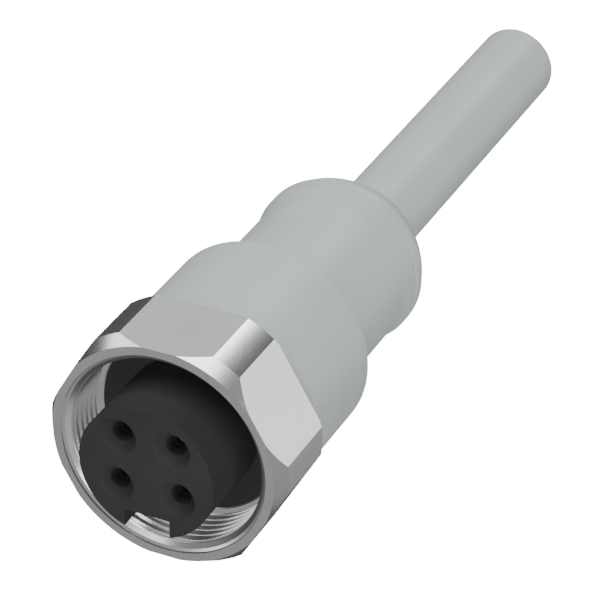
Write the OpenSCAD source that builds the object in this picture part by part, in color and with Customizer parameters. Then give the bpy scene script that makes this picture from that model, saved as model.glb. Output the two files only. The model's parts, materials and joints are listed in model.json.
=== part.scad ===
// Straight four-pole moulded cable socket with an M12 coupling nut.
// Axis along Y: the mating face looks to -Y, the cable leaves to +Y, +Z is up.
// The origin is on the axis, where the coupling thread begins inside the nut.
// The connector lies on the bottom flat of its nut, key notch down.

/* [Coupling nut] */
// Minor diameter of the coupling thread
thread_minor_d = 11.7; // [11.4:0.02:11.8]
// Wall of the nut between a flat and the thread's minor diameter
nut_wall = 1.15; // [1.1:0.05:1.4]
// How much the turned-down corners stand over the flats, on the diameter
corner_over_flats = 1.2; // [0.8:0.05:1.6]
// Length of the nut along the axis
nut_length = 5.4; // [5.2:0.1:7]
// How much the flat ring at either end of the nut stands over the flats, on the diameter
face_over_flats = 0.15; // [-0.2:0.05:0.4]
// Axial length of the front chamfer on the corners
nut_front_chamfer = 0.85; // [0.4:0.05:1.2]
// Size of the small chamfer on the corners at the rear
nut_rear_chamfer = 0.15; // [0.05:0.05:0.5]
// Step from the mouth down to the thread's minor diameter, on the radius
mouth_step = 0.7; // [0.5:0.05:0.8]
// Depth of the straight land just inside the mouth
mouth_land = 0.2; // [0.1:0.05:0.4]
// Axial distance from the nut's front face to the origin
mouth_to_origin = 1; // [0.8:0.1:1.4]
// Depth of the relief groove behind the coupling thread
relief_depth = 0.3; // [0.2:0.05:0.4]
// Width of the relief groove
relief_w = 0.4; // [0.2:0.05:0.6]
// Thickness of the lip that traps the nut behind the carrier's flange
lip_t = 0.6; // [0.5:0.05:0.8]

/* [Contact carrier] */
// Diameter of the insert that enters the mating plug
insert_d = 8.5; // [8.3:0.1:8.7]
// Distance that the insert stands out in front of the nut
insert_proud = 2; // [0.5:0.1:3]
// Depth of the sealing face behind the nut's front face
seal_depth = 3.75; // [3.4:0.05:4]
// Step from the insert down to the seat of its seal, on the radius
seat_step = 0.2; // [0.2:0.05:0.3]
// Thickness of the carrier's flange
flange_t = 0.5; // [0.4:0.05:0.7]
// Diameter of the hub that the nut turns on
hub_d = 9.8; // [9.4:0.1:10]
// Radial clearance of the hub and the flange in the nut
spin_clearance = 0.06; // [0.03:0.01:0.1]
// Axial clearance in front of and behind the nut's lip
end_clearance = 0.1; // [0.05:0.05:0.3]
// Width of the key notch
key_w = 2.9; // [2.4:0.1:3.2]
// Distance from the axis to the floor of the key notch
key_floor = 2.85; // [2.7:0.05:3.2]
// Length of the carrier's barbed tail inside the grip
tail_length = 3.4; // [3:0.1:4]
// Diameter of the tail between its barbs
tail_d = 8.4; // [8:0.1:8.8]
// Number of locking grooves round the tail
tail_grooves = 2; // [1:1:2]

/* [Contacts] */
// Sideways distance of the upper two contacts from the axis
upper_x = 1.7; // [1.6:0.05:1.8]
// Height of the upper two contacts above the axis
upper_z = 2.05; // [1.9:0.05:2.1]
// Sideways distance of the lower two contacts from the axis
lower_x = 1.95; // [1.85:0.05:2.05]
// Depth of the lower two contacts below the axis
lower_z = 1.2; // [1.1:0.05:1.25]
// Diameter of the pin hole in the carrier's face
hole_d = 1.3; // [1.3:0.01:1.36]
// Diameter of the conical entry of a pin hole
entry_d = 2.35; // [2:0.05:2.4]
// Depth of the conical entry
entry_depth = 0.6; // [0.4:0.05:0.8]
// Distance from the carrier's face to the front of a contact
contact_recess = 1.8; // [1.2:0.1:2.4]
// Outer diameter of a contact's spring sleeve
sleeve_d = 1.6; // [1.5:0.02:1.7]
// Bore of a contact's spring sleeve, a little under the pin that it grips
socket_d = 0.98; // [0.94:0.01:0.98]
// Depth of a contact's socket
socket_depth = 5; // [4:0.1:5.6]
// Length of the slot that parts the sleeve into two spring fingers
slot_length = 3.4; // [2.4:0.1:3.8]
// Width of that slot
slot_w = 0.24; // [0.16:0.02:0.3]
// Radial space in which the spring fingers open
finger_clearance = 0.08; // [0.04:0.01:0.1]
// Diameter of the collar that stops a contact
collar_d = 2; // [1.85:0.05:2.1]
// Length of the collar
collar_length = 0.6; // [0.4:0.1:0.8]
// Length of a contact's solder cup behind the carrier
cup_length = 2.2; // [1.8:0.1:2.6]
// Bore of a solder cup
cup_d = 0.9; // [0.84:0.02:1]

/* [Cable] */
// Diameter of the cable jacket
cable_d = 5.4; // [5:0.1:5.8]
// Diameter of one insulated core
core_d = 1.3; // [1.2:0.02:1.36]
// Diameter of a core's copper strand bundle
copper_d = 0.76; // [0.7:0.02:0.8]
// Distance from the axis to the centre of a core in the cable
core_circle_r = 0.98; // [0.97:0.01:1.1]

/* [Grip] */
// Step from the nut's flats down to the grip's front body
body_step = 0.25; // [0.2:0.05:0.5]
// Length of the grip's front body
body_length = 8.05; // [7:0.05:9.5]
// Radius of the grip's front edge
body_edge_r = 0.9; // [0.4:0.1:1.2]
// Width of the flat under the body where the mould's gate is trimmed
gate_flat_w = 1.6; // [1:0.1:2]
// Diameter of the grip's waist
waist_d = 10.6; // [10.2:0.1:11]
// Length of the waist up to where it flares
waist_length = 8.2; // [7:0.1:9]
// Diameter at the top of the flare
flare_d = 11.2; // [10.8:0.1:11.6]
// Length of the flare
flare_length = 1.6; // [1.2:0.1:2.2]
// Depth of the two shallow lines round the rear bead
bead_line = 0.07; // [0.03:0.01:0.12]
// Width of the bead between its two lines
bead_w = 0.85; // [0.6:0.05:1]
// Length of the rounded shoulder behind the bead
shoulder_length = 3; // [2:0.1:4]
// How straight the shoulder runs, from 1 for a quarter of an ellipse to 2 for a cone
shoulder_cone = 1.47; // [1:0.01:2]
// Wall left round the cable at the end of the shoulder
shoulder_lip = 0.5; // [0.3:0.05:0.8]
// Thickness of the grip's wall over the inner mould, at the waist
waist_wall = 1.5; // [1.2:0.1:1.7]

/* [Hidden] */
$fn = 96;

// Points that the cable follows, from inside the grip to its cut end
CABLE_ROUTE = [[0, 15, 0], [0, 24, 0], [0, 33, 0], [0, 43, 0], [0, 52.4, 0]];
CABLE_SIDES = 12;
CORE_SIDES = 12;
BEND_RINGS = 8;

// Overshoot of a cutting shape past the face that it opens
CUT = 0.5;
COLLAR_PROUD = 0.3;
STRIPPED_LENGTH = 1.5;
MOULD_BITE = 2;

// Stations along the axis, from the mating face to the cable
nut_front = -mouth_to_origin;
nut_rear = nut_front + nut_length;
insert_front = nut_front - insert_proud;
seal_front = nut_front + seal_depth;
lip_front = nut_rear - lip_t;
flange_rear = lip_front - end_clearance;
flange_front = flange_rear - flange_t;
grip_front = nut_rear + end_clearance;
tail_rear = grip_front + tail_length;
body_rear = grip_front + body_length;
flare_front = body_rear + waist_length;
flare_rear = flare_front + flare_length;
bead_rear = flare_rear + bead_w;
grip_rear = bead_rear + shoulder_length;
jacket_front = CABLE_ROUTE[0][1];
mould_rear = jacket_front + MOULD_BITE;
cable_end = CABLE_ROUTE[len(CABLE_ROUTE) - 1][1];
contact_front = insert_front + contact_recess;
collar_front = tail_rear - collar_length;
cup_rear = tail_rear + cup_length;
cup_floor = tail_rear + cup_length - STRIPPED_LENGTH;
core_front = cup_rear + COLLAR_PROUD;

// Radii that follow from the fits
nut_flats = thread_minor_d + 2 * nut_wall;
mouth_d = thread_minor_d + 2 * mouth_step;
relief_d = thread_minor_d + 2 * relief_depth;
body_d = nut_flats - 2 * body_step;
nut_corner_d = nut_flats + corner_over_flats;
nut_face_d = nut_flats + face_over_flats;
lip_r = hub_d / 2 + spin_clearance;
flange_d = thread_minor_d - 2 * spin_clearance;
seat_d = insert_d - 2 * seat_step;
mould_front_r = tail_d / 2;
mould_rear_r = waist_d / 2 - waist_wall;

// Places of the four contacts, and of their cores in the cable
CONTACT_PLACES = [[-upper_x, upper_z], [upper_x, upper_z], [lower_x, -lower_z], [-lower_x, -lower_z]];
CORE_ANGLES = [135, 45, -45, -135];
CORE_PLACES = [for (a = CORE_ANGLES) core_circle_r * [cos(a), sin(a)]];

// Revolves an outline of [radius, station] points about the Y axis
module turned(outline) {
    rotate([-90, 0, 0]) rotate_extrude() polygon(outline);
}

// A rod along Y from one station to the next
module rod(d, y0, y1) {
    translate([0, y0, 0]) rotate([-90, 0, 0]) cylinder(d = d, h = y1 - y0);
}

// A cone along Y from one station to the next
module cone(d0, d1, y0, y1) {
    translate([0, y0, 0]) rotate([-90, 0, 0]) cylinder(d1 = d0, d2 = d1, h = y1 - y0);
}

// A smooth step from 0 to 1
function eased(t) = t * t * (3 - 2 * t);

// The centre line of core i: straight at the cup, an S bend, straight in the cable
function core_line(i, y0, y1) = concat(
    [[CONTACT_PLACES[i][0], y0, CONTACT_PLACES[i][1]]],
    [for (k = [0 : BEND_RINGS])
        let (t = k / BEND_RINGS, p = CONTACT_PLACES[i] + eased(t) * (CORE_PLACES[i] - CONTACT_PLACES[i]))
        [p[0], core_front + t * (jacket_front - core_front), p[1]]],
    [[CORE_PLACES[i][0], y1, CORE_PLACES[i][1]]]);

// Points of one ring across the axis round a place on a centre line
function ring(p, r, sides) = [for (k = [0 : sides - 1])
    let (a = 360 * k / sides) p + r * [cos(a), 0, sin(a)]];

// A closed tube, or a rod where r_in is 0, swept along a line of points
module swept(line, r_out, r_in, sides) {
    n = len(line);
    outer = [for (p = line) each ring(p, r_out, sides)];
    inner = [for (p = line) each ring(p, r_in, sides)];
    skin = [for (j = [0 : n - 2], k = [0 : sides - 1])
        let (q = (k + 1) % sides)
        [j * sides + k, j * sides + q, (j + 1) * sides + q, (j + 1) * sides + k]];
    base = n * sides;
    lining = [for (f = skin) [for (k = [3 : -1 : 0]) base + f[k]]];
    mouths = [for (j = [0, n - 1], k = [0 : sides - 1])
        let (q = (k + 1) % sides, a = j * sides + k, b = j * sides + q)
        j == 0 ? [b, a, base + a, base + b] : [a, b, base + b, base + a]];
    caps = [[for (k = [sides - 1 : -1 : 0]) k], [for (k = [0 : sides - 1]) (n - 1) * sides + k]];
    if (r_in > 0)
        polyhedron(concat(outer, inner), concat(skin, lining, mouths));
    else
        polyhedron(outer, concat(skin, caps));
}

module coupling_nut() {
    color("silver") difference() {
        intersection() {
            translate([0, nut_front, 0]) rotate([-90, 0, 0])
                cylinder(d = nut_flats / cos(30), h = nut_length, $fn = 6);
            turned([[0, nut_front], [nut_face_d / 2, nut_front],
                [nut_corner_d / 2, nut_front + nut_front_chamfer],
                [nut_corner_d / 2, nut_rear - nut_rear_chamfer],
                [nut_corner_d / 2 - nut_rear_chamfer, nut_rear], [0, nut_rear]]);
        }
        rod(mouth_d, nut_front - CUT, nut_front + mouth_land);
        cone(mouth_d, thread_minor_d, nut_front + mouth_land, nut_front + mouth_land + lead_length());
        rod(thread_minor_d, nut_front, lip_front);
        rod(relief_d, seal_front - relief_w, seal_front);
        rod(2 * lip_r, nut_front, nut_rear + CUT);
    }
}

// Length of the mouth's cone, at half a right angle
function lead_length() = (mouth_d - thread_minor_d) / 2;

// The carrier's outside, which the grip closes round
module carrier_body() {
    groove_pitch = (tail_rear - grip_front) / (2 * tail_grooves + 1);
    turned(concat(
        [[0, flange_front], [flange_d / 2, flange_front], [flange_d / 2, flange_rear], [hub_d / 2, flange_rear]],
        [for (g = [1 : tail_grooves], s = [0 : 3])
            [(s == 0 || s == 3 ? hub_d : tail_d) / 2,
                grip_front + groove_pitch * (2 * g - (s < 2 ? 1 : 0))]],
        [[hub_d / 2, tail_rear], [0, tail_rear]]));
}

// The space that one contact takes up in the carrier
module contact_cavity() {
    cone(entry_d + 2 * CUT * (entry_d - hole_d) / 2 / entry_depth, hole_d,
        insert_front - CUT, insert_front + entry_depth);
    rod(hole_d, insert_front, contact_front + CUT);
    rod(sleeve_d + 2 * finger_clearance, contact_front, contact_front + slot_length + CUT);
    rod(sleeve_d, contact_front, tail_rear + CUT);
    rod(collar_d, collar_front, tail_rear + CUT);
}

// Every contact's space, in place
module contact_cavities() {
    for (p = CONTACT_PLACES)
        translate([p[0], 0, p[1]]) contact_cavity();
}

// Keyed insert that enters the plug, with its seal's seat at the back
module contact_insert() {
    color([0.16, 0.16, 0.17]) difference() {
        union() {
            rod(insert_d, insert_front, seal_front);
            rod(seat_d, seal_front, flange_front);
        }
        translate([-key_w / 2, insert_front - CUT, -insert_d])
            cube([key_w, seal_front - insert_front + CUT, insert_d - key_floor]);
        contact_cavities();
    }
}

// Flange, hub and barbed tail behind the insert
module contact_carrier() {
    color([0.16, 0.16, 0.17]) difference() {
        carrier_body();
        contact_cavities();
    }
}

// Flat rubber ring on the front of the carrier's flange, stretched over the insert's seat
module face_seal() {
    color([0.1, 0.1, 0.1]) difference() {
        rod(flange_d, seal_front, flange_front);
        rod(seat_d, seal_front - CUT, flange_front + CUT);
    }
}

// One turned and slotted socket with a solder cup behind
module socket_contact(i) {
    color([0.85, 0.68, 0.3]) translate([CONTACT_PLACES[i][0], 0, CONTACT_PLACES[i][1]]) difference() {
        union() {
            rod(sleeve_d, contact_front, cup_rear);
            rod(collar_d, collar_front, tail_rear);
        }
        rod(socket_d, contact_front - CUT, contact_front + socket_depth);
        rod(cup_d, cup_floor, cup_rear + CUT);
        translate([-sleeve_d, contact_front - CUT, -slot_w / 2])
            cube([2 * sleeve_d, slot_length + CUT, slot_w]);
        translate([-sleeve_d, cup_floor + (cup_rear - cup_floor) / 3, cup_d / 4])
            cube([2 * sleeve_d, cup_rear, sleeve_d]);
    }
}

// Solder that fills a cup round the copper
module solder_joint(i) {
    color([0.75, 0.75, 0.78]) translate([CONTACT_PLACES[i][0], 0, CONTACT_PLACES[i][1]]) difference() {
        rod(cup_d, cup_floor, cup_rear);
        rod(copper_d, cup_floor - CUT, cup_rear + CUT);
    }
}

// Stranded copper from the solder cup to the cable's cut end
module copper_core(i) {
    color([0.8, 0.45, 0.25]) swept(core_line(i, cup_floor, cable_end), copper_d / 2, 0, CORE_SIDES);
}

// Coloured sleeve round one copper core
module insulation(i, shade) {
    color(shade) swept(core_line(i, core_front - COLLAR_PROUD, cable_end), core_d / 2, copper_d / 2, CORE_SIDES);
}

// Outline of the inner mould, which the grip closes round
module inner_mould_body() {
    turned([[0, tail_rear], [mould_front_r, tail_rear], [mould_front_r, cup_rear],
        [mould_rear_r, jacket_front], [mould_rear_r, mould_rear], [0, mould_rear]]);
}

// First mould shot, which seals the solder joints and grips the jacket
module inner_mould() {
    color([0.35, 0.36, 0.38]) difference() {
        inner_mould_body();
        for (i = [0 : len(CONTACT_PLACES) - 1]) {
            swept(core_line(i, cup_rear, mould_rear + CUT), core_d / 2, 0, CORE_SIDES);
            translate([CONTACT_PLACES[i][0], 0, CONTACT_PLACES[i][1]])
                rod(sleeve_d, tail_rear - CUT, cup_rear);
        }
        rod(cable_d, jacket_front, mould_rear + CUT);
    }
}

// Cable jacket, with a channel for each core
module cable_jacket() {
    color([0.68, 0.71, 0.71]) difference() {
        swept(CABLE_ROUTE, cable_d / 2, 0, CABLE_SIDES);
        for (p = CORE_PLACES)
            translate([p[0], 0, p[1]]) rod(core_d, jacket_front - CUT, cable_end + CUT);
    }
}

// Outline points of an arc in the [radius, station] plane
function arc(centre, rx, ry, a0, a1, steps) = [for (k = [0 : steps])
    let (a = a0 + (a1 - a0) * k / steps) centre + [rx * cos(a), ry * sin(a)]];

// What is trimmed off under the body, down to the gate flat
module gate_trim() {
    flat_z = sqrt(pow(body_d / 2, 2) - pow(gate_flat_w / 2, 2));
    translate([-gate_flat_w, grip_front - CUT, -flat_z - gate_flat_w])
        cube([2 * gate_flat_w, body_length + 2 * CUT, gate_flat_w]);
}

// Soft outer mould: body, waist, flare, bead and rounded rear shoulder
module grip() {
    bead_r = flare_d / 2;
    lip_end_r = cable_d / 2 + shoulder_lip;
    line_w = bead_w / 4;
    color([0.69, 0.72, 0.72]) difference() {
        turned(concat(
            [[0, grip_front]],
            arc([body_d / 2 - body_edge_r, grip_front + body_edge_r], body_edge_r, body_edge_r, -90, 0, 6),
            [[body_d / 2, body_rear], [waist_d / 2, body_rear], [waist_d / 2, flare_front]],
            [[bead_r - bead_line, flare_rear - line_w], [bead_r - bead_line, flare_rear], [bead_r, flare_rear + line_w],
                [bead_r, bead_rear - line_w], [bead_r - bead_line, bead_rear]],
            [for (a = [9 : 9 : 90]) [lip_end_r + (bead_r - bead_line - lip_end_r) * pow(cos(a), shoulder_cone),
                bead_rear + shoulder_length * pow(sin(a), shoulder_cone)]],
            [[0, grip_rear]]));
        gate_trim();
        carrier_body();
        inner_mould_body();
        rod(cable_d, mould_rear - CUT, grip_rear + CUT);
    }
}

coupling_nut();
contact_insert();
contact_carrier();
face_seal();
socket_contact(0);  // socket_contact_1
socket_contact(1);  // socket_contact_2
socket_contact(2);  // socket_contact_3
socket_contact(3);  // socket_contact_4
solder_joint(0);  // solder_joint_1
solder_joint(1);  // solder_joint_2
solder_joint(2);  // solder_joint_3
solder_joint(3);  // solder_joint_4
copper_core(0);  // copper_core_1
copper_core(1);  // copper_core_2
copper_core(2);  // copper_core_3
copper_core(3);  // copper_core_4
insulation(0, "saddlebrown");  // insulation_brown
insulation(1, "white");  // insulation_white
insulation(2, "royalblue");  // insulation_blue
insulation(3, "black");  // insulation_black
inner_mould();
cable_jacket();
grip();
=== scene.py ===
import json
import math

import bpy
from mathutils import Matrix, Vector

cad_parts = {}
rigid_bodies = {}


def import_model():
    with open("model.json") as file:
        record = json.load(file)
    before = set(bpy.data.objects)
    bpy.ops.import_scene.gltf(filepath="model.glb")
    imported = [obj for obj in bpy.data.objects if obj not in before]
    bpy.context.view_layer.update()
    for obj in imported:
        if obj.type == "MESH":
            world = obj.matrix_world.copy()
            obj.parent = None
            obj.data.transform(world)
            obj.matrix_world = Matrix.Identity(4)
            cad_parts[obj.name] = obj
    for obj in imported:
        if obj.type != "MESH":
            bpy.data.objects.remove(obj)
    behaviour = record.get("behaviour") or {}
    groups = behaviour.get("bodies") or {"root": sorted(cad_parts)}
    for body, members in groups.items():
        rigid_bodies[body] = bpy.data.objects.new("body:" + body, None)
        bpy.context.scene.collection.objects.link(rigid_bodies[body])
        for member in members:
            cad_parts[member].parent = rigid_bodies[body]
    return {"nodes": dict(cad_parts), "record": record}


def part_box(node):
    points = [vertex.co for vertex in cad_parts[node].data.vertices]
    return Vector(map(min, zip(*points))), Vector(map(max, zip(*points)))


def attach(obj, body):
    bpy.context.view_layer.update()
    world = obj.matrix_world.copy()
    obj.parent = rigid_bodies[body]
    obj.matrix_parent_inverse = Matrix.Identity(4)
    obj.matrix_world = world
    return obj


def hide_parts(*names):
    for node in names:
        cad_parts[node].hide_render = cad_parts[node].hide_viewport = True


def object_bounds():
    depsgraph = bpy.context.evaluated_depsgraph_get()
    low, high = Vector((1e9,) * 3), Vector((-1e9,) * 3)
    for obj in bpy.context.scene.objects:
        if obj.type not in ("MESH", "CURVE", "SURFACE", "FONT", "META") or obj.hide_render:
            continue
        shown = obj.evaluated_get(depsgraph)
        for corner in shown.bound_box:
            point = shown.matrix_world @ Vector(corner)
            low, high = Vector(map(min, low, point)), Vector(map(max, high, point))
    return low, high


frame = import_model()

CAD_LOW, CAD_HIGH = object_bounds()

# Sizes are in millimetres, as on a drawing; MM turns them into the scene's metres.
MM = 0.001

# Sides of a turned shape
AROUND = 192


def box_mm(node):
    """The two corners of a node's box, in millimetres."""
    return [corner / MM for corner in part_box(node)]


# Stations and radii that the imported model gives
NUT_LOW, NUT_HIGH = box_mm("coupling_nut")
CARRIER_HIGH = box_mm("contact_carrier")[1]
SEAL_LOW, SEAL_HIGH = box_mm("face_seal")
GRIP_LOW, GRIP_HIGH = box_mm("grip")
JACKET_HIGH = box_mm("cable_jacket")[1]

NUT_FRONT = NUT_LOW.y
NUT_REAR = NUT_HIGH.y
HALF_FLATS = NUT_HIGH.z
NUT_CORNER_R = NUT_HIGH.x
INSERT_FRONT = box_mm("contact_insert")[0].y
TAIL_REAR = CARRIER_HIGH.y
FLANGE_R = CARRIER_HIGH.x
SEAL_FRONT = SEAL_LOW.y
FLANGE_FRONT = SEAL_HIGH.y
GRIP_FRONT = GRIP_LOW.y
GRIP_REAR = GRIP_HIGH.y
BODY_R = GRIP_HIGH.x
CABLE_R = JACKET_HIGH.x
CABLE_END = JACKET_HIGH.y
MOUNTS = {mount["name"]: mount for mount in frame["record"]["mounts"]}
INSERT_R = MOUNTS["insert"]["dims"]["r_mm"]
THREAD_MINOR_R = MOUNTS["coupling_thread"]["dims"]["r_mm"]
SOCKETS = [MOUNTS[f"pin_socket_{number}"] for number in (1, 2, 3, 4)]
PIN_PLACES = [(socket["pos_m"][0] / MM, socket["pos_m"][2] / MM) for socket in SOCKETS]

# The nut: its flat front ring, its chamfers, and the radius and depth of each step in its mouth
NUT_FACE_R = 7.075
FRONT_CHAMFER = 0.85
REAR_CHAMFER = 0.15
MOUTH_R = 6.54
MOUTH_STEPS = [(6.515, 0.12), (6.35, 0.2)]
LEAD_LENGTH = 0.45
RELIEF_R = 6.15
RELIEF_W = 0.4
LIP_T = 0.6
SPIN_CLEARANCE = 0.06

# The thread: how far its root lies behind the minor radius, its pitch and depth, the share of a
# turn that slopes back on the far side of the crest, and how much of the pitch one ridge takes up
THREAD_ROOT = 0.25
THREAD_PITCH = 0.556
THREAD_DEPTH = 0.075
THREAD_LEAN = 0.3
THREAD_FILL = 0.98
THREAD_POINTS = 16
THREAD_STEPS = 96

# The insert and the carrier behind it
FLANGE_T = 0.5
HUB_R = 4.9
SEAT_R = INSERT_R - 0.2
TAIL_R = 4.2
TAIL_GROOVES = 2
KEY_W = 2.9
KEY_FLOOR = 2.85

# One pin's funnel and hole, the narrow lip at the hole's end, and the space for the contact
ENTRY_R = 1.175
ENTRY_DEPTH = 0.6
HOLE_R = 0.65
LIP_R = 0.54
LIP_DEPTH = 0.4
CAVITY_R = 1.0
CONTACT_RECESS = 1.8

# The grip, from its body to its shoulder
BODY_EDGE_R = 0.9
GATE_FLAT_W = 1.6
WAIST_R = 5.3
WAIST_FRONT = GRIP_FRONT + 8.05
FLARE_R = 5.6
FLARE_FRONT = WAIST_FRONT + 8.2
FLARE_REAR = FLARE_FRONT + 1.6
BEAD_W = 0.85
BEAD_LINE = 0.1
SHOULDER_LIP = 0.5
SHOULDER_CONE = 1.47

# The cable's path and its four cores
CABLE_ROUTE = [(0, 15, 0), (0, 24, 0), (0, 33, 0), (0, 43, 0), (0, 52.4, 0)]
CORE_R = 0.65
COPPER_R = 0.38
CORE_CIRCLE_R = 0.98
CORE_ANGLES = (135, 45, -45, -135)

# Corners sharper than this many degrees stay crisp
PLAIN_CREASE = 32
NUT_CREASE = 12
GRIP_CREASE = 14
MOULD_CREASE = 25
THREAD_CREASE = 40


# ---------------------------------------------------------------- camera

AZIMUTH = math.radians(25.42)
ELEVATION = math.radians(31.66)
CAMERA_DISTANCE = 176.68
CAMERA_LENS = 189.1
AIM = Vector((5.827, 5.0, 8.578))


def place_camera():
    """Sets the camera in front, to the right and above, with a long lens."""
    back = Vector((math.sin(AZIMUTH) * math.cos(ELEVATION),
                   -math.cos(AZIMUTH) * math.cos(ELEVATION), math.sin(ELEVATION)))
    bpy.ops.object.camera_add(location=(AIM + back * CAMERA_DISTANCE) * MM)
    camera = bpy.context.object
    camera.rotation_euler = (-back).to_track_quat("-Z", "Y").to_euler()
    camera.data.lens = CAMERA_LENS
    camera.data.clip_start = 0.01
    camera.data.clip_end = 5
    bpy.context.scene.camera = camera


# ---------------------------------------------------------------- modelling helpers

def clear_selection():
    """Leaves object mode with nothing selected."""
    if bpy.context.mode != "OBJECT":
        bpy.ops.object.mode_set(mode="OBJECT")
    bpy.ops.object.select_all(action="DESELECT")


def open_for_editing(piece):
    """Makes one piece active, in edit mode, with nothing on it selected."""
    clear_selection()
    piece.select_set(True)
    bpy.context.view_layer.objects.active = piece
    bpy.ops.object.mode_set(mode="EDIT")
    bpy.ops.mesh.select_all(action="DESELECT")


def name_new(name):
    """Names the primitive just added and puts its place into its mesh."""
    piece = bpy.context.object
    piece.name = name
    piece.data.name = name
    bpy.ops.object.transform_apply(location=True, rotation=True, scale=True)
    return piece


def turned(name, outline, around=AROUND, capped=True, centre=(0, 0)):
    """Turns an outline of (radius, station) about a line along Y by extruding ring after ring."""
    clear_selection()
    radius, station = outline[0]
    middle = (centre[0] * MM, 0, centre[1] * MM)
    bpy.ops.mesh.primitive_circle_add(vertices=around, radius=radius * MM, rotation=(math.pi / 2, 0, 0),
                                      location=(middle[0], station * MM, middle[2]))
    piece = name_new(name)
    bpy.ops.object.mode_set(mode="EDIT")
    bpy.ops.mesh.select_all(action="SELECT")
    if capped:
        bpy.ops.mesh.edge_face_add()
    for (r0, y0), (r1, y1) in zip(outline, outline[1:]):
        bpy.ops.mesh.extrude_region_move(TRANSFORM_OT_translate={"value": (0, (y1 - y0) * MM, 0)})
        bpy.ops.transform.resize(value=(r1 / r0, 1, r1 / r0), center_override=middle)
    bpy.ops.mesh.select_all(action="SELECT")
    if not capped:
        bpy.ops.mesh.remove_doubles(threshold=1e-6)
    bpy.ops.mesh.normals_make_consistent(inside=False)
    clear_selection()
    return piece


def arc(centre_r, centre_y, radius_r, radius_y, start, stop, steps):
    """Points of an elliptic arc in the (radius, station) plane; angles in degrees."""
    turns = [math.radians(start + (stop - start) * k / steps) for k in range(steps + 1)]
    return [(centre_r + radius_r * math.cos(t), centre_y + radius_y * math.sin(t)) for t in turns]


def apply_modifier(piece, kind, **settings):
    """Adds one modifier with its settings and applies it."""
    clear_selection()
    piece.select_set(True)
    bpy.context.view_layer.objects.active = piece
    modifier = piece.modifiers.new(kind.title(), kind)
    for key, value in settings.items():
        setattr(modifier, key, value)
    bpy.ops.object.modifier_apply(modifier=modifier.name)


def carve(piece, tool, operation="DIFFERENCE"):
    """Cuts a piece with a tool shape, or keeps what they share, and throws the tool away."""
    apply_modifier(piece, "BOOLEAN", object=tool, operation=operation, solver="EXACT")
    bpy.data.objects.remove(tool, do_unlink=True)


def rod_at(name, x, z, radius, start, stop, around=48, end_radius=None):
    """A straight rod or cone along Y at one place across the axis."""
    clear_selection()
    bpy.ops.mesh.primitive_cone_add(vertices=around, radius1=radius * MM,
                                    radius2=(radius if end_radius is None else end_radius) * MM,
                                    depth=(stop - start) * MM, rotation=(-math.pi / 2, 0, 0),
                                    location=(x * MM, (start + stop) / 2 * MM, z * MM))
    return name_new(name)


def block(name, low, high):
    """A rectangular block between two corners."""
    clear_selection()
    bpy.ops.mesh.primitive_cube_add(size=MM, location=[(a + b) / 2 * MM for a, b in zip(low, high)],
                                    scale=[b - a for a, b in zip(low, high)])
    return name_new(name)


def smooth(piece, angle=PLAIN_CREASE):
    """Smooth shading, with a crease wherever faces meet more sharply than the angle."""
    clear_selection()
    piece.select_set(True)
    bpy.context.view_layer.objects.active = piece
    bpy.ops.object.shade_smooth_by_angle(angle=math.radians(angle))
    clear_selection()


def finish_piece(piece, material, body, slot, *nodes):
    """Dresses a piece, lets it ride on its body and hides the CAD nodes that it stands for."""
    piece.data.materials.clear()
    piece.data.materials.append(material)
    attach(piece, body)
    if nodes:
        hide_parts(*nodes)


# ---------------------------------------------------------------- materials

# The depth of a metal's marks and a plastic's grain, as a share of their relief
MARK_STRENGTH = 0.01
GRAIN_STRENGTH = 0.12


def new_material(name):
    """An empty node material with its Principled shader."""
    material = bpy.data.materials.new(name)
    material.use_nodes = True
    nodes = material.node_tree.nodes
    return material, nodes, material.node_tree.links, nodes["Principled BSDF"]


def object_noise(nodes, links, scale, stretch=(1, 1, 1), detail=4.0):
    """Noise on Object coordinates, stretched as the finish runs."""
    place = nodes.new("ShaderNodeTexCoord")
    mapping = nodes.new("ShaderNodeMapping")
    mapping.inputs["Scale"].default_value = stretch
    noise = nodes.new("ShaderNodeTexNoise")
    noise.inputs["Scale"].default_value = scale
    noise.inputs["Detail"].default_value = detail
    links.new(place.outputs["Object"], mapping.inputs["Vector"])
    links.new(mapping.outputs["Vector"], noise.inputs["Vector"])
    return noise


def ramp(nodes, links, source, low, high, start=0.35, stop=0.65):
    """A colour ramp between two colours, driven by a noise."""
    node = nodes.new("ShaderNodeValToRGB")
    node.color_ramp.elements[0].position = start
    node.color_ramp.elements[1].position = stop
    node.color_ramp.elements[0].color = (*low, 1)
    node.color_ramp.elements[1].color = (*high, 1)
    links.new(source, node.inputs["Fac"])
    return node


def roughness_from(nodes, links, noise, shader, low, high):
    """Roughness that wanders between two values with a noise."""
    spread = nodes.new("ShaderNodeMapRange")
    spread.inputs["To Min"].default_value = low
    spread.inputs["To Max"].default_value = high
    links.new(noise.outputs["Fac"], spread.inputs["Value"])
    links.new(spread.outputs["Result"], shader.inputs["Roughness"])


def bump_from(nodes, links, noise, shader, strength, distance):
    """A fine relief from a noise."""
    bump = nodes.new("ShaderNodeBump")
    bump.inputs["Strength"].default_value = strength
    bump.inputs["Distance"].default_value = distance * MM
    links.new(noise.outputs["Fac"], bump.inputs["Height"])
    links.new(bump.outputs["Normal"], shader.inputs["Normal"])


def plastic(name, low, high, rough, grain=3000, relief=0.01, specular=0.5):
    """Moulded plastic: slight colour drift, fine grain and uneven gloss."""
    material, nodes, links, shader = new_material(name)
    drift = object_noise(nodes, links, 180)
    links.new(ramp(nodes, links, drift.outputs["Fac"], low, high).outputs["Color"],
              shader.inputs["Base Color"])
    fine = object_noise(nodes, links, grain)
    roughness_from(nodes, links, fine, shader, *rough)
    bump_from(nodes, links, fine, shader, GRAIN_STRENGTH, relief)
    shader.inputs["Specular IOR Level"].default_value = specular
    return material


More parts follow.
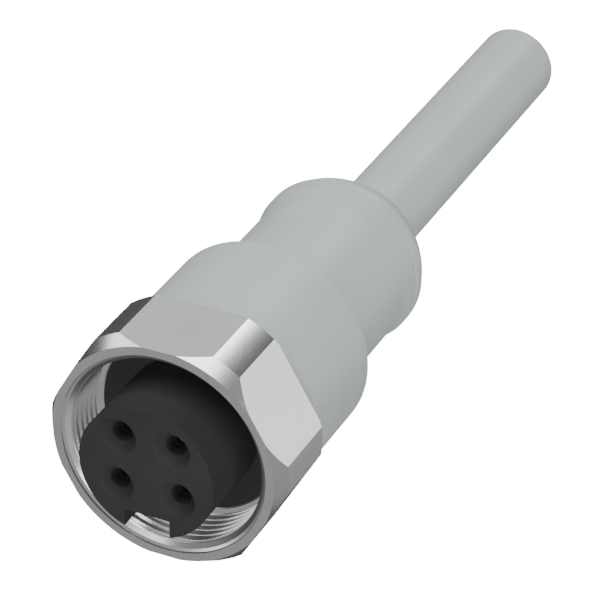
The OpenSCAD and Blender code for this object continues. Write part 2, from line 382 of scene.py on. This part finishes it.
def metal(name, low, high, rough, grain, relief, stretch=(1, 1, 1)):
    """Bare or plated metal with fine marks, stretched the way that they run."""
    material, nodes, links, shader = new_material(name)
    drift = object_noise(nodes, links, 260)
    links.new(ramp(nodes, links, drift.outputs["Fac"], low, high).outputs["Color"],
              shader.inputs["Base Color"])
    marks = object_noise(nodes, links, grain, stretch)
    roughness_from(nodes, links, marks, shader, *rough)
    bump_from(nodes, links, marks, shader, MARK_STRENGTH, relief)
    shader.inputs["Metallic"].default_value = 1.0
    return material


def make_materials():
    """Every finish on the connector, by name."""
    return {
        "nickel": metal("nickel_steel", (0.56, 0.56, 0.555), (0.6, 0.6, 0.595), (0.25, 0.27), 400, 0.002),
        "thread": metal("cut_thread", (0.56, 0.56, 0.555), (0.6, 0.6, 0.595), (0.26, 0.29), 400, 0.002),
        # The contact gold is about half as bright as real gold: painted shade, so that the contacts down in
        # the pin holes look as dark as the shade there
        "gold": metal("contact_gold", (0.42, 0.28, 0.1), (0.5, 0.34, 0.13), (0.5, 0.6), 3000, 0.003),
        "tin": metal("solder", (0.5, 0.5, 0.52), (0.6, 0.6, 0.62), (0.3, 0.45), 2000, 0.01),
        "copper": metal("bare_copper", (0.62, 0.28, 0.13), (0.72, 0.36, 0.18), (0.28, 0.4), 3000, 0.004,
                        stretch=(1, 0.2, 1)),
        "nylon": plastic("black_nylon", (0.028, 0.028, 0.0285), (0.032, 0.032, 0.0325), (0.5, 0.58),
                         specular=0.02),
        "rubber": plastic("black_seal_rubber", (0.03, 0.03, 0.031), (0.036, 0.036, 0.037), (0.5, 0.6)),
        "grey": plastic("grey_overmould", (0.39, 0.435, 0.44), (0.41, 0.455, 0.46), (0.42, 0.48),
                        relief=0.006, specular=0.35),
        "jacket": plastic("grey_jacket", (0.38, 0.425, 0.43), (0.4, 0.445, 0.45), (0.42, 0.48),
                          relief=0.006, specular=0.35),
        "inner": plastic("inner_mould_plastic", (0.1, 0.1, 0.11), (0.13, 0.13, 0.14), (0.45, 0.55)),
        "brown": plastic("brown_insulation", (0.14, 0.055, 0.022), (0.17, 0.065, 0.028), (0.3, 0.4)),
        "white": plastic("white_insulation", (0.7, 0.7, 0.67), (0.76, 0.76, 0.73), (0.3, 0.4)),
        "blue": plastic("blue_insulation", (0.025, 0.1, 0.4), (0.035, 0.13, 0.48), (0.3, 0.4)),
        "black": plastic("black_insulation", (0.018, 0.018, 0.018), (0.024, 0.024, 0.024), (0.3, 0.4)),
    }


# ---------------------------------------------------------------- the cable

def make_cable(materials):
    """The jacket as one round tube with a channel for each core, and its cut end."""
    start, stop = CABLE_ROUTE[0][1], CABLE_END - 0.04
    jacket = turned("cable_sheath", [(CABLE_R - 0.06, start), (CABLE_R, start + 0.06)]
                    + [(CABLE_R, start + (stop - start) * k / 24) for k in range(1, 24)]
                    + arc(CABLE_R - 0.1, stop - 0.1, 0.1, 0.1, 0, 90, 4), around=96)
    for angle in CORE_ANGLES:
        x, z = (CORE_CIRCLE_R * turn(math.radians(angle)) for turn in (math.cos, math.sin))
        carve(jacket, rod_at("channel", x, z, CORE_R, start - 1, stop + 1))
    smooth(jacket)
    finish_piece(jacket, materials["jacket"], "connector", "grey_jacket", "cable_jacket")
    strands = [make_strands(number, angle, materials) for number, angle in enumerate(CORE_ANGLES, 1)]


def make_strands(number, angle, materials):
    """The fine wires that show at the cut end of one core, packed round a middle one."""
    wire_r = COPPER_R / 5
    x, z = (CORE_CIRCLE_R * turn(math.radians(angle)) for turn in (math.cos, math.sin))
    places = [(0.0, 0.0)]
    for ring, count in ((1, 6), (2, 12)):
        turns = [math.tau * k / count + 0.2 * ring for k in range(count)]
        places += [(2 * wire_r * ring * math.cos(t), 2 * wire_r * ring * math.sin(t)) for t in turns]
    wires = [rod_at("wire", x + dx, z + dz, wire_r, CABLE_END - 0.3, CABLE_END - 0.005, around=12)
             for dx, dz in places]
    clear_selection()
    for wire in wires:
        wire.select_set(True)
    bpy.context.view_layer.objects.active = wires[0]
    bpy.ops.object.join()
    bundle = bpy.context.object
    bundle.name = f"copper_strands_{number}"
    smooth(bundle)
    finish_piece(bundle, materials["copper"], "connector", "bare_copper")
    return bundle


# ---------------------------------------------------------------- the nut

def make_nut(materials):
    """The hexagon nut: what a prism and a turned blank share, bored, with a cut thread inside."""
    clear_selection()
    bpy.ops.mesh.primitive_cylinder_add(vertices=6, radius=HALF_FLATS / math.cos(math.pi / 6) * MM,
                                        depth=(NUT_REAR - NUT_FRONT) * MM,
                                        location=(0, (NUT_FRONT + NUT_REAR) / 2 * MM, 0),
                                        rotation=(math.pi / 2, math.pi / 6, 0))
    nut = name_new("nut_body")
    carve(nut, turned("blank", [(NUT_FACE_R, NUT_FRONT), (NUT_CORNER_R, NUT_FRONT + FRONT_CHAMFER),
                                (NUT_CORNER_R, NUT_REAR - REAR_CHAMFER),
                                (NUT_CORNER_R - REAR_CHAMFER, NUT_REAR)],
                      around=AROUND * 2), "INTERSECT")
    root_r = THREAD_MINOR_R + THREAD_ROOT
    lip_r = HUB_R + SPIN_CLEARANCE
    carve(nut, turned("bore", [(MOUTH_R, NUT_FRONT - 1), (MOUTH_R, NUT_FRONT)]
                      + [(radius, NUT_FRONT + depth) for radius, depth in MOUTH_STEPS]
                      + [(root_r, NUT_FRONT + LEAD_LENGTH), (root_r, SEAL_FRONT - RELIEF_W),
                         (RELIEF_R, SEAL_FRONT - RELIEF_W), (RELIEF_R, SEAL_FRONT),
                         (THREAD_MINOR_R, SEAL_FRONT), (THREAD_MINOR_R, NUT_REAR - LIP_T),
                         (lip_r, NUT_REAR - LIP_T), (lip_r, NUT_REAR + 1)]))
    smooth(nut, NUT_CREASE)
    finish_piece(nut, materials["nickel"], "nut", "nickel_steel", "coupling_nut")
    thread = make_thread(root_r)
    finish_piece(thread, materials["thread"], "nut", "nickel_steel")


def make_thread(root_r):
    """The ridge of the coupling thread, screwed along the bore and cut off at both ends of it."""
    start = NUT_FRONT + LEAD_LENGTH - THREAD_PITCH
    turns = math.ceil((SEAL_FRONT - RELIEF_W - start) / THREAD_PITCH)
    clear_selection()
    bpy.ops.mesh.primitive_circle_add(vertices=THREAD_POINTS + 2, fill_type="NGON", radius=1 * MM)
    ridge = name_new("nut_thread")
    for vertex, (radius, place) in zip(ridge.data.vertices, thread_wave(root_r) + [(root_r + 0.05, 0)]):
        vertex.co = Vector((radius, start + THREAD_PITCH * place, 0)) * MM
    apply_modifier(ridge, "SCREW", axis="Y", angle=math.tau, screw_offset=THREAD_PITCH * MM,
                   iterations=turns, steps=THREAD_STEPS, render_steps=THREAD_STEPS,
                   use_merge_vertices=False)
    open_for_editing(ridge)
    bpy.ops.mesh.select_all(action="SELECT")
    bpy.ops.mesh.remove_doubles(threshold=1e-7)
    bpy.ops.mesh.fill_holes(sides=THREAD_POINTS + 2)
    bpy.ops.mesh.normals_make_consistent(inside=False)
    clear_selection()
    lead_rear = NUT_FRONT + LEAD_LENGTH
    relief_front = SEAL_FRONT - RELIEF_W
    carve(ridge, turned("lead_in", [(MOUTH_R, NUT_FRONT - 1), (MOUTH_R, lead_rear - 0.1),
                                    (THREAD_MINOR_R - 0.1, lead_rear + THREAD_ROOT)]))
    carve(ridge, turned("run_out", [(RELIEF_R + 1, relief_front), (RELIEF_R + 1, SEAL_FRONT + 2)]))
    smooth(ridge, THREAD_CREASE)
    return ridge


def thread_wave(root_r):
    """The (radius, place) points of one turn's section: a soft wave that leans to one side."""
    points = []
    for k in range(-THREAD_POINTS // 2, THREAD_POINTS // 2 + 1):
        side = THREAD_LEAN if k >= 0 else 1 - THREAD_LEAN
        depth = THREAD_DEPTH * (1 + math.cos(math.tau * k / THREAD_POINTS)) / 2
        points.append((root_r - depth, 2 * THREAD_FILL * side * k / THREAD_POINTS))
    return points


# ---------------------------------------------------------------- the carrier and its seal

def make_insert(materials):
    """The black keyed insert with its four funnel-mouthed pin holes."""
    edge = 0.02
    insert = turned("keyed_insert", [(INSERT_R - edge, INSERT_FRONT), (INSERT_R, INSERT_FRONT + edge),
                                     (INSERT_R, SEAL_FRONT), (SEAT_R, SEAL_FRONT), (SEAT_R, FLANGE_FRONT)])
    carve(insert, block("key", (-KEY_W / 2, INSERT_FRONT - 1, -INSERT_R - 1),
                        (KEY_W / 2, SEAL_FRONT, -KEY_FLOOR)))
    for place in PIN_PLACES:
        carve(insert, turned("pin_way", pin_way(), around=64, centre=place))
    smooth(insert, MOULD_CREASE)
    finish_piece(insert, materials["nylon"], "connector", "black_nylon", "contact_insert")


def pin_way():
    """The outline of one pin's funnel, hole and contact space, front to back."""
    slope = (ENTRY_R - HOLE_R) / ENTRY_DEPTH
    contact = INSERT_FRONT + CONTACT_RECESS
    return [(ENTRY_R + slope, INSERT_FRONT - 1), (HOLE_R, INSERT_FRONT + ENTRY_DEPTH),
            (HOLE_R, contact - LIP_DEPTH), (LIP_R, contact - LIP_DEPTH), (LIP_R, contact),
            (CAVITY_R, contact), (CAVITY_R, TAIL_REAR + 1)]


def make_carrier(materials):
    """The flange, hub and barbed tail behind the insert."""
    groove = (TAIL_REAR - GRIP_FRONT) / (2 * TAIL_GROOVES + 1)
    barbs = []
    for number in range(1, TAIL_GROOVES + 1):
        near, far = GRIP_FRONT + groove * (2 * number - 1), GRIP_FRONT + groove * 2 * number
        barbs += [(HUB_R, near), (TAIL_R, near), (TAIL_R, far), (HUB_R, far)]
    carrier = turned("flanged_carrier", [(FLANGE_R, FLANGE_FRONT), (FLANGE_R, FLANGE_FRONT + FLANGE_T),
                                         (HUB_R, FLANGE_FRONT + FLANGE_T)] + barbs + [(HUB_R, TAIL_REAR)])
    for place in PIN_PLACES:
        carve(carrier, turned("contact_way", [(CAVITY_R, FLANGE_FRONT - 1), (CAVITY_R, TAIL_REAR + 1)],
                              around=64, centre=place))
    smooth(carrier, MOULD_CREASE)
    finish_piece(carrier, materials["nylon"], "connector", "black_nylon", "contact_carrier")


def make_seal(materials):
    """The flat rubber ring at the foot of the insert, with softly rounded edges."""
    edge = 0.08
    seal = turned("seal_ring", [(SEAT_R, FLANGE_FRONT), (SEAT_R, SEAL_FRONT), (FLANGE_R - edge, SEAL_FRONT),
                                (FLANGE_R, SEAL_FRONT + edge), (FLANGE_R, FLANGE_FRONT),
                                (SEAT_R, FLANGE_FRONT)], capped=False)
    smooth(seal)
    finish_piece(seal, materials["rubber"], "connector", "black_seal_rubber", "face_seal")


# ---------------------------------------------------------------- the grip

def make_grip(materials):
    """The soft outer mould: body, waist, flare, lined bead and rounded rear shoulder."""
    bead_r = FLARE_R - BEAD_LINE
    bead_rear = FLARE_REAR + BEAD_W
    line_w = BEAD_W / 7
    lip_r = CABLE_R + SHOULDER_LIP
    edge = 0.12
    outline = [(TAIL_R, GRIP_FRONT)]
    outline += arc(BODY_R - BODY_EDGE_R, GRIP_FRONT + BODY_EDGE_R, BODY_EDGE_R, BODY_EDGE_R, -90, 0, 10)
    outline += arc(BODY_R - edge, WAIST_FRONT - edge, edge, edge, 0, 90, 8)
    outline += arc(WAIST_R + edge, WAIST_FRONT + edge, edge, edge, 270, 180, 8)
    outline += [(WAIST_R, FLARE_FRONT)]
    outline += [(WAIST_R + (bead_r - WAIST_R) * (1 - math.cos(math.pi * k / 10)) / 2,
                 FLARE_FRONT + (FLARE_REAR - FLARE_FRONT) * k / 10) for k in range(1, 10)]
    outline += [(bead_r, FLARE_REAR), (FLARE_R, FLARE_REAR + line_w), (FLARE_R, bead_rear - line_w),
                (bead_r, bead_rear)]
    outline += shoulder(bead_r, lip_r, bead_rear)
    outline += [(CABLE_R + 0.01, GRIP_REAR), (CABLE_R + 0.01, GRIP_REAR - 3), (TAIL_R, GRIP_FRONT)]
    grip = turned("grip_mould", outline, capped=False)
    open_for_editing(grip)
    bpy.ops.mesh.select_all(action="SELECT")
    bpy.ops.mesh.bisect(plane_co=(0, 0, -math.sqrt(BODY_R ** 2 - (GATE_FLAT_W / 2) ** 2) * MM),
                        plane_no=(0, 0, -1), clear_outer=True, use_fill=True)
    clear_selection()
    smooth(grip, GRIP_CREASE)
    finish_piece(grip, materials["grey"], "connector", "grey_overmould", "grip")


def shoulder(bead_r, lip_r, front):
    """The rear shoulder, between a quarter ellipse and a straight cone, from the bead to the cable."""
    turns = [math.radians(5 * k) for k in range(1, 18)]
    rounding = [(lip_r + (bead_r - lip_r) * math.cos(t) ** SHOULDER_CONE,
                 front + (GRIP_REAR - front) * math.sin(t) ** SHOULDER_CONE) for t in turns]
    return rounding + [(lip_r, GRIP_REAR)]


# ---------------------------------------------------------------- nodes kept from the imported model

def dress_kept_nodes(materials):
    """Gives each CAD node that stays in view its own finish."""
    finishes = {f"socket_contact_{n}": "gold" for n in (1, 2, 3, 4)}
    finishes.update({f"solder_joint_{n}": "tin" for n in (1, 2, 3, 4)})
    finishes.update({f"copper_core_{n}": "copper" for n in (1, 2, 3, 4)})
    finishes.update({f"insulation_{shade}": shade for shade in ("brown", "white", "blue", "black")})
    finishes["inner_mould"] = "inner"
    for node, finish in finishes.items():
        shown = frame["nodes"][node]
        shown.data.materials.clear()
        shown.data.materials.append(materials[finish])


# ---------------------------------------------------------------- backdrop and lights

# The floor lies a hair under the nut, so that the two faces don't flicker through each other
FLOOR_DROP = 0.02
FLOOR_Z = CAD_LOW.z - FLOOR_DROP * MM
FLOOR_SIZE = 4
DOME_RADIUS = 2.5
BACKDROP_GLOW = 16


def make_studio_room():
    """A plain white floor under the nut's bottom flat and a white dome, both even and without shadow."""
    material, nodes, links, shader = new_material("studio_white")
    material.cycles.emission_sampling = "NONE"
    shader.inputs["Base Color"].default_value = (0.9, 0.9, 0.9, 1)
    shader.inputs["Roughness"].default_value = 0.9
    shader.inputs["Emission Color"].default_value = (1, 1, 1, 1)
    shader.inputs["Emission Strength"].default_value = BACKDROP_GLOW
    clear_selection()
    bpy.ops.mesh.primitive_plane_add(size=FLOOR_SIZE, location=(0, 0, FLOOR_Z))
    bpy.context.object.name = "studio_floor"
    stage_white(bpy.context.object, material)
    bpy.ops.mesh.primitive_uv_sphere_add(segments=32, ring_count=16, radius=DOME_RADIUS,
                                         location=(0, 0, FLOOR_Z))
    bpy.context.object.name = "studio_dome"
    stage_white(bpy.context.object, material)


def stage_white(backdrop, material):
    """Gives a backdrop its white, and shows it to the camera alone."""
    backdrop.data.materials.append(material)
    backdrop.visible_diffuse = False
    backdrop.visible_shadow = False


# Each light's name, the direction that it comes from, its width and height, and its radiance
STUDIO_LIGHTS = [
    ("rear_strip", (0.09, 0.769, 0.634), (70, 260), 10),
    ("right_box", (0.64, 0.769, 0.0), (200, 260), 2.3),
    ("left_box", (-0.394, 0.769, 0.504), (200, 260), 1.0),
    ("front_key", (0.0, -0.3, 0.95), (330, 330), 6),
    ("left_top", (-0.72, 0.0, 0.69), (90, 280), 4),
    ("low_right", (0.5, 0.65, -0.55), (300, 300), 0.36),
    ("face_fill", (0.1, -1.0, 0.0), (300, 300), 1.1),
    ("low_left", (-0.62, 0.77, -0.2), (300, 300), 1.6),
    ("bore_top", (-0.365, 0.55, 0.75), (200, 200), 0.6),
    ("front_left", (-0.75, -0.65, 0.1), (150, 150), 2.5),
    ("low_fill", (0.65, -0.55, -0.52), (400, 400), 1.4),
    ("low_front", (0.74, -0.38, -0.52), (400, 400), 0.4),
    ("right_front", (0.75, -0.6, 0.3), (200, 200), 5),
    ("side_fill", (0.72, -0.62, -0.3), (400, 400), 2.0),
]
# Lights that fall on the named pieces alone
FALLS_ON = {"face_fill": ["keyed_insert"], "low_left": ["nut_thread"], "bore_top": ["nut_thread"],
            "front_left": ["nut_body"], "low_front": ["nut_body"], "right_front": ["nut_body"]}
# Lights that fall on every piece but the named ones
KEEPS_OFF = {"left_box": ["nut_thread"], "front_key": ["nut_thread"], "low_fill": ["nut_body", "nut_thread"]}
# Lights that the metal doesn't mirror
UNMIRRORED = ["face_fill", "side_fill"]
LIGHT_DISTANCE = 400
LIT_CENTRE = Vector((0, 8, 0))

# How the surroundings brighten towards the front, by the Y part of the direction
WORLD_FADE = {"From Min": -0.7, "From Max": -0.1, "To Min": 0.5, "To Max": 0.1}


def add_light(name, direction, size, radiance):
    """A soft rectangular light that looks at the connector from a direction."""
    towards = Vector(direction).normalized()
    bpy.ops.object.light_add(type="AREA", location=(LIT_CENTRE + towards * LIGHT_DISTANCE) * MM)
    light = bpy.context.object
    light.name = name
    light.rotation_euler = (-towards).to_track_quat("-Z", "Y").to_euler()
    light.data.shape = "RECTANGLE"
    light.data.size, light.data.size_y = (s * MM for s in size)
    light.data.energy = math.pi * size[0] * size[1] * MM * MM * radiance
    light.visible_glossy = name not in UNMIRRORED
    if name in FALLS_ON or name in KEEPS_OFF:
        shade_light(light)


def shade_light(light):
    """Keeps a light to the pieces that it is meant for."""
    group = bpy.data.collections.new(light.name + "_pieces")
    for name in FALLS_ON.get(light.name) or KEEPS_OFF[light.name]:
        group.objects.link(bpy.data.objects[name])
    for entry in group.collection_objects:
        entry.light_linking.link_state = "INCLUDE" if light.name in FALLS_ON else "EXCLUDE"
    light.light_linking.receiver_collection = group


def light_studio():
    """Dim surroundings and soft lights: a strip behind, boxes at both sides and a key above."""
    world = bpy.data.worlds.new("studio_world")
    bpy.context.scene.world = world
    world.use_nodes = True
    nodes, links = world.node_tree.nodes, world.node_tree.links
    backdrop = nodes["Background"]
    backdrop.inputs["Color"].default_value = (1, 1, 1, 1)
    place = nodes.new("ShaderNodeTexCoord")
    parts = nodes.new("ShaderNodeSeparateXYZ")
    links.new(place.outputs["Generated"], parts.inputs["Vector"])
    fade = nodes.new("ShaderNodeMapRange")
    for name, value in WORLD_FADE.items():
        fade.inputs[name].default_value = value
    links.new(parts.outputs["Y"], fade.inputs["Value"])
    links.new(fade.outputs["Result"], backdrop.inputs["Strength"])
    for light in STUDIO_LIGHTS:
        add_light(*light)


def keep_reflections_clean():
    """Lets metal mirror only the studio, and none of the pieces round it."""
    for shown in bpy.context.scene.objects:
        if shown.type == "MESH":
            shown.visible_glossy = False


materials = make_materials()
place_camera()
make_cable(materials)
make_nut(materials)
make_insert(materials)
make_carrier(materials)
make_seal(materials)
make_grip(materials)
dress_kept_nodes(materials)
make_studio_room()
light_studio()
keep_reflections_clean()
